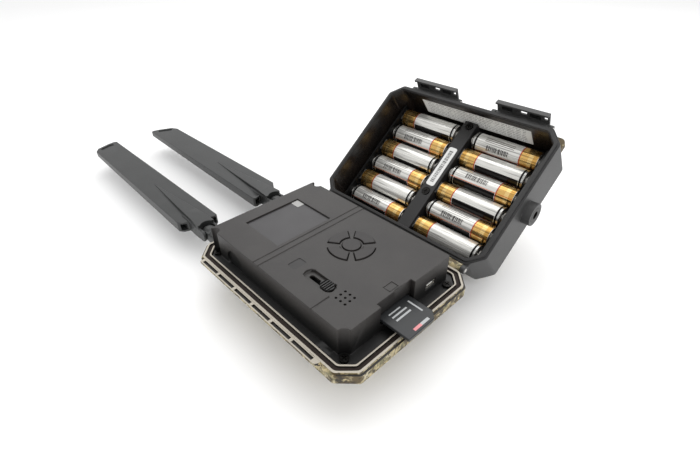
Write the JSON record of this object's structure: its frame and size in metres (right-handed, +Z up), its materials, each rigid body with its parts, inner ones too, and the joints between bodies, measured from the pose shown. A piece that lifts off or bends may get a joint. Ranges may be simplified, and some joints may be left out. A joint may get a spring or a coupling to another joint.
{
  "type": "trail camera",
  "caption": "Open wildlife camera lying on its face, with its battery tray swung up, a control panel with display and keys, a memory card and two folding antennas.",
  "frame": {"origin": "on the optical axis, at the front plane of the lens hood, which stands on the table", "axes": "+Z up and away from the lens, +X from the antenna end to the card end, +Y from the latch side across the front half to the hinge and the tray"},
  "size_m": [0.374, 0.2268, 0.1034],
  "materials": {
    "camo_shell": "dull camouflage print",
    "panel_plastic": "fine grain",
    "tray_plastic": "fine grain",
    "seal_rubber": "soft",
    "display_cover": "glossy",
    "display_frame": "dull",
    "circuit_board": "solder mask",
    "steel": "nickel plated",
    "dark_steel": "black oxide",
    "contact_board": "black solder mask",
    "brass": "plated",
    "key_rubber": "dull",
    "knob_plastic": "dull",
    "lens_plastic": "dull black",
    "lens_glass": "coated",
    "ir_cover": "dark tinted",
    "led_epoxy": "clear",
    "dome_plastic": "milky",
    "light_window": "frosted",
    "card_plastic": "dull",
    "speaker_can": "dull",
    "blade_plastic": "satin",
    "latch_plastic": "fine grain",
    "cell_can": "gold and silver wrapper"
  },
  "bodies": {
    "front_half": {"front_shell": "camo_shell", "rim_gasket": "seal_rubber", "panel_housing": "panel_plastic", "display_window": "display_cover", "display_module": "display_frame", "main_board": "circuit_board", "key_board": "circuit_board", "key_switches": "steel", "mode_switch_body": "speaker_can", "status_window": "light_window", "speaker": "speaker_can", "sd_socket": "steel", "usb_port": "steel", "housing_screws": "dark_steel", "hinge_pins": "steel", "lens_hood": "lens_plastic", "lens_barrel": "lens_plastic", "lens_glass": "lens_glass", "image_sensor": "circuit_board", "ir_window": "ir_cover", "ir_led_board": "circuit_board", "ir_leds": "led_epoxy", "pir_lens": "dome_plastic", "pir_sensor": "steel", "antenna_sockets": "brass"},
    "tray": {"battery_tray": "tray_plastic", "divider_bar": "tray_plastic", "contact_boards": "contact_board", "contact_springs": "steel", "contact_plates": "steel", "divider_screws": "dark_steel", "tripod_insert": "dark_steel", "tree_bracket": "camo_shell", "bracket_screws": "dark_steel", "latch_pins": "steel", "cell_1": "cell_can", "cell_2": "cell_can", "cell_3": "cell_can", "cell_4": "cell_can", "cell_5": "cell_can", "cell_6": "cell_can", "cell_7": "cell_can", "cell_8": "cell_can", "cell_9": "cell_can", "cell_10": "cell_can", "cell_11": "cell_can", "cell_12": "cell_can"},
    "card": {"sd_card": "card_plastic"},
    "mode_knob": {"switch_knob": "knob_plastic"},
    "ok_key": {"key_ok": "key_rubber"},
    "up_key": {"key_up": "key_rubber"},
    "down_key": {"key_down": "key_rubber"},
    "left_key": {"key_left": "key_rubber"},
    "right_key": {"key_right": "key_rubber"},
    "latch_upper": {"upper_latch": "latch_plastic"},
    "latch_lower": {"lower_latch": "latch_plastic"},
    "elbow_1": {"antenna_elbow_1": "blade_plastic"},
    "blade_1": {"antenna_blade_1": "blade_plastic"},
    "elbow_2": {"antenna_elbow_2": "blade_plastic"},
    "blade_2": {"antenna_blade_2": "blade_plastic"}
  },
  "joints": [
    {"name": "lid_hinge", "type": "hinge", "parent": "front_half", "child": "tray", "pos_m": [0, 0.054, 0.03154], "axis": [1, 0, 0], "range_deg": [0, 142]},
    {"name": "card_slide", "type": "slide", "parent": "front_half", "child": "card", "axis": [1, 0, 0], "range_m": [-0.015, 0]},
    {"name": "mode_slide", "type": "slide", "parent": "front_half", "child": "mode_knob", "axis": [1, 0, 0], "range_m": [-0.012, 0]},
    {"name": "ok_press", "type": "slide", "parent": "front_half", "child": "ok_key", "axis": [0, 0, -1], "range_m": [0, 0.0007], "stiffness_N_per_m": 1500, "springref_m": -0.0003},
    {"name": "up_press", "type": "slide", "parent": "front_half", "child": "up_key", "axis": [0, 0, -1], "range_m": [0, 0.0007], "stiffness_N_per_m": 1500, "springref_m": -0.0003},
    {"name": "down_press", "type": "slide", "parent": "front_half", "child": "down_key", "axis": [0, 0, -1], "range_m": [0, 0.0007], "stiffness_N_per_m": 1500, "springref_m": -0.0003},
    {"name": "left_press", "type": "slide", "parent": "front_half", "child": "left_key", "axis": [0, 0, -1], "range_m": [0, 0.0007], "stiffness_N_per_m": 1500, "springref_m": -0.0003},
    {"name": "right_press", "type": "slide", "parent": "front_half", "child": "right_key", "axis": [0, 0, -1], "range_m": [0, 0.0007], "stiffness_N_per_m": 1500, "springref_m": -0.0003},
    {"name": "upper_latch_hinge", "type": "hinge", "parent": "tray", "child": "latch_upper", "pos_m": [-0.033, 0.14175, 0.09351], "axis": [-1, 0, 0], "range_deg": [-14, 80]},
    {"name": "lower_latch_hinge", "type": "hinge", "parent": "tray", "child": "latch_lower", "pos_m": [0.036, 0.14175, 0.09351], "axis": [-1, 0, 0], "range_deg": [-14, 80]},
    {"name": "antenna_1_swivel", "type": "hinge", "parent": "front_half", "child": "elbow_1", "pos_m": [-0.096, -0.0279, 0.01954], "axis": [1, 0, 0], "continuous": true},
    {"name": "antenna_1_fold", "type": "hinge", "parent": "elbow_1", "child": "blade_1", "pos_m": [-0.096, -0.0279, 0.01954], "axis": [0, 1, 0], "range_deg": [0, 90]},
    {"name": "antenna_2_swivel", "type": "hinge", "parent": "front_half", "child": "elbow_2", "pos_m": [-0.096, 0.0309, 0.01954], "axis": [1, 0, 0], "continuous": true},
    {"name": "antenna_2_fold", "type": "hinge", "parent": "elbow_2", "child": "blade_2", "pos_m": [-0.096, 0.0309, 0.01954], "axis": [0, 1, 0], "range_deg": [0, 90]}
  ],
  "couplings": [
    {"joint": "card_slide", "follows": "lid_hinge", "m_per_rad": -0.00605}
  ]
}
